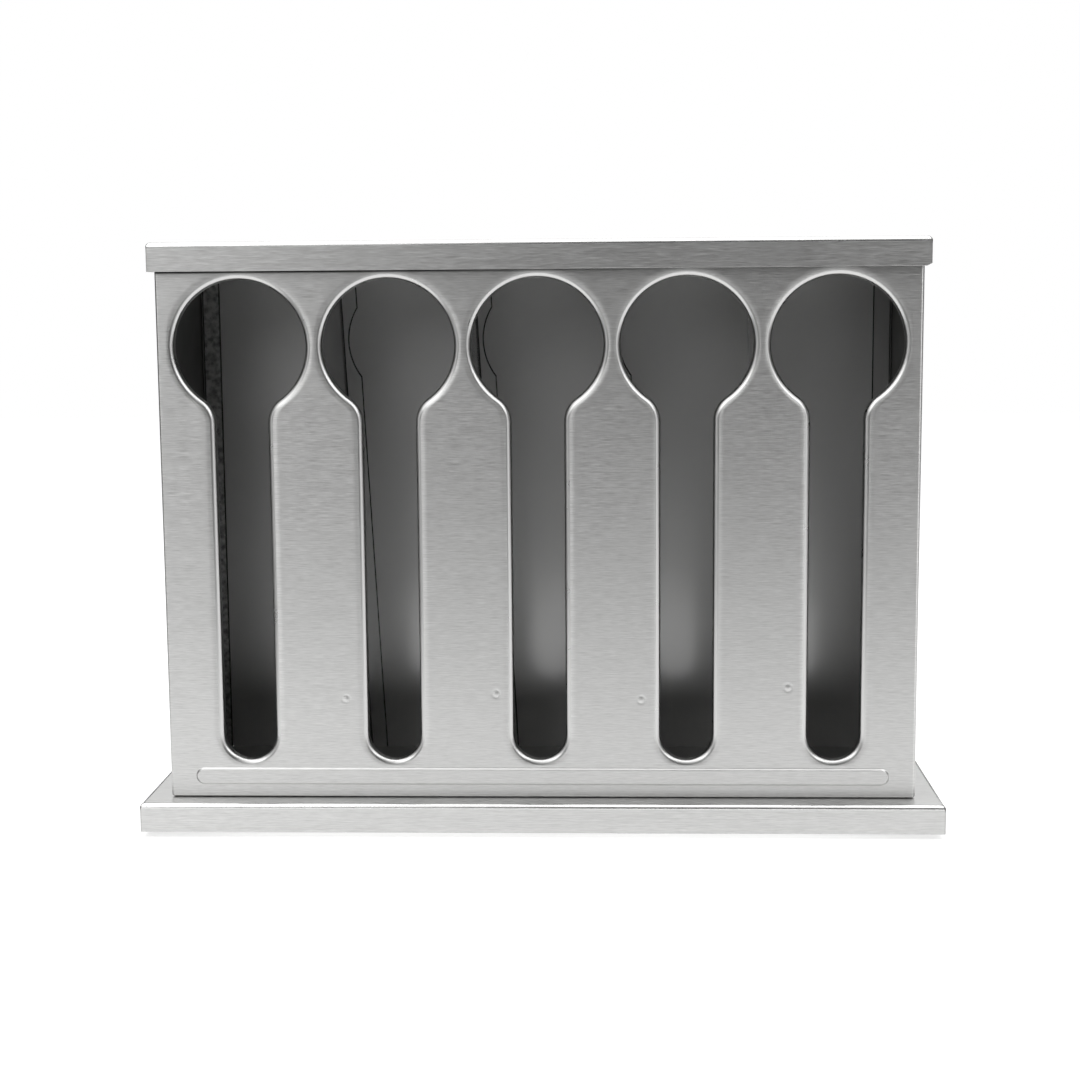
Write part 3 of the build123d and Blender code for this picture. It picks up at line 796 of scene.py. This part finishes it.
# Dark cloths that only the metal shows: each has a left and a right end for every row.
cloths = {
    "clothFront": {"shade": 0.07, "rows": [
        ((-0.95, -2.27, 0.0), (1.60, -2.27, 0.0)), ((-0.95, -2.27, 0.6), (1.60, -2.27, 0.6)),
        ((-0.42, -2.27, 0.72), (1.60, -2.27, 0.72)), ((-0.27, -2.27, 0.85), (1.55, -2.27, 0.85)),
        ((-0.22, -2.27, 2.0), (1.30, -2.27, 2.0))]},
    "clothFloor": {"shade": 0.18, "rows": [
        ((-0.46, -0.72, 0.002), (0.42, -0.72, 0.002)), ((-1.20, -2.27, 0.002), (1.60, -2.27, 0.002))]},
    "clothNear": {"shade": 0.15, "rows": [
        ((-0.95, -2.27, 0.0), (-1.75, -1.45, 0.0)), ((-0.95, -2.27, 0.85), (-1.75, -1.45, 0.85))]},
    "clothLeft": {"shade": 0.02, "rows": [
        ((-1.90, -0.75, 0.0), (-1.00, 2.2, 0.0)), ((-1.90, -0.75, 1.3), (-1.00, 2.2, 1.3))]},
    "clothAisle": {"shade": 0.35, "rows": [
        ((-0.58, -1.10, 0.002), (-0.58, 0.40, 0.002)), ((-1.75, -1.10, 0.002), (-1.75, 0.40, 0.002))]},
    "clothRight": {"shade": 0.10, "rows": [
        ((1.75, -1.00, 0.0), (0.95, 2.2, 0.0)), ((1.75, -1.00, 1.2), (0.95, 2.2, 1.2))]},
    "clothBack": {"shade": 0.15, "rows": [
        ((-1.30, 2.3, 0.0), (1.30, 2.3, 0.0)), ((-1.30, 2.3, 0.4), (1.30, 2.3, 0.4))]},
    "clothBehind": {"shade": 0.25, "rows": [
        ((-0.40, 0.9, 0.002), (0.40, 0.9, 0.002)), ((-1.30, 2.3, 0.002), (1.30, 2.3, 0.002))]},
}
for name, box in softboxes.items():
    lamp = bpy.data.lights.new(name, "AREA")
    lamp.shape = "RECTANGLE"
    lamp.size, lamp.size_y = box["size"]
    lamp.energy = box["radiance"] * math.pi * box["size"][0] * box["size"][1]
    light = bpy.data.objects.new(name, lamp)
    light.location = box["place"]
    light.rotation_euler = (Vector(studio["aim"]) - light.location).to_track_quat("-Z", "Y").to_euler()
    light.visible_camera = False
    bpy.context.scene.collection.objects.link(light)


def stagePiece(name, points, material):
    # a grid of points as a plain surface that isn't part of the object
    mesh = bpy.data.meshes.new(name)
    mesh.from_pydata(points.reshape(-1, 3), [], gridQuads(*points.shape[:2]))
    mesh.materials.append(material)
    piece = bpy.data.objects.new(name, mesh)
    bpy.context.scene.collection.objects.link(piece)
    piece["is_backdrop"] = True
    return piece


def seenDirectly(tree):
    # 1 for rays from the camera or from a mirror or glass, 0 for the rest
    path = addNode(tree, "LightPath").node.outputs
    either = addNode(tree, "Math", {"operation": "MAXIMUM"}, {
        0: path["Is Camera Ray"], 1: path["Is Glossy Ray"]})
    return addNode(tree, "Math", {"operation": "MAXIMUM"}, {0: either, 1: path["Is Transmission Ray"]})


# white paper: matt, and lifted a little where it is looked at, so that it runs into the white behind it
paper, tree = newMaterial("white paper")
lift = addNode(tree, "Math", {"operation": "MULTIPLY"}, {0: seenDirectly(tree), 1: studio["floorLift"]})
matt = addNode(tree, "BsdfPrincipled", {}, {
    "Base Color": studio["floor"], "Roughness": studio["floorRough"], "Specular IOR Level": 0.0,
    "Emission Color": studio["white"], "Emission Strength": lift})
addNode(tree, "OutputMaterial", {}, {"Surface": matt})
reach = np.linspace(-studio["floorHalf"], studio["floorHalf"], 3)
stagePiece("floor", np.stack(np.broadcast_arrays(reach[None], reach[:, None], 0.0), axis=2), paper)
for name, cloth in cloths.items():
    felt, tree = newMaterial(name)
    glow = addNode(tree, "Emission", {}, {"Color": studio["white"], "Strength": cloth["shade"]})
    addNode(tree, "OutputMaterial", {}, {"Surface": glow})
    piece = stagePiece(name, np.array(cloth["rows"]), felt)
    piece.visible_camera = False
    piece.visible_diffuse = False
    piece.visible_shadow = False
world = bpy.data.worlds.new("white studio")
world.use_nodes = True
tree = world.node_tree
tree.nodes.clear()
strength = addNode(tree, "MapRange", {}, {
    "Value": seenDirectly(tree), "To Min": studio["fill"], "To Max": studio["world"]})
sky = addNode(tree, "Background", {}, {"Color": studio["white"], "Strength": strength})
addNode(tree, "OutputWorld", {}, {"Surface": sky})
bpy.context.scene.world = world
print("studio lit")


# camera, worked out from the edges in the photograph: its place in millimetres, its turns in radians

shot = {"place": (50.04, -1307.43, 366.02), "yaw": -0.0396, "pitch": 0.1341, "roll": 0.0079, "focal": 63.163,
        "sensor": 36.0}
sinYaw, cosYaw = math.sin(shot["yaw"]), math.cos(shot["yaw"])
sinPitch, cosPitch = math.sin(shot["pitch"]), math.cos(shot["pitch"])
level = Vector((cosYaw, -sinYaw, 0))
ahead = Vector((cosPitch * sinYaw, cosPitch * cosYaw, -sinPitch))
upright = Vector((sinPitch * sinYaw, sinPitch * cosYaw, cosPitch))
right = math.cos(shot["roll"]) * level - math.sin(shot["roll"]) * upright
up = math.sin(shot["roll"]) * level + math.cos(shot["roll"]) * upright
turned = Matrix((right, up, -ahead)).transposed().to_4x4()
lens = bpy.data.cameras.new("camera")
lens.sensor_width = shot["sensor"]
lens.lens = shot["focal"]
camera = bpy.data.objects.new("camera", lens)
camera.matrix_world = Matrix.Translation(Vector(shot["place"]) * mm) @ turned
bpy.context.scene.collection.objects.link(camera)
bpy.context.scene.camera = camera
bpy.context.scene.view_settings.view_transform = "Standard"
print("camera set")

low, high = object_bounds()
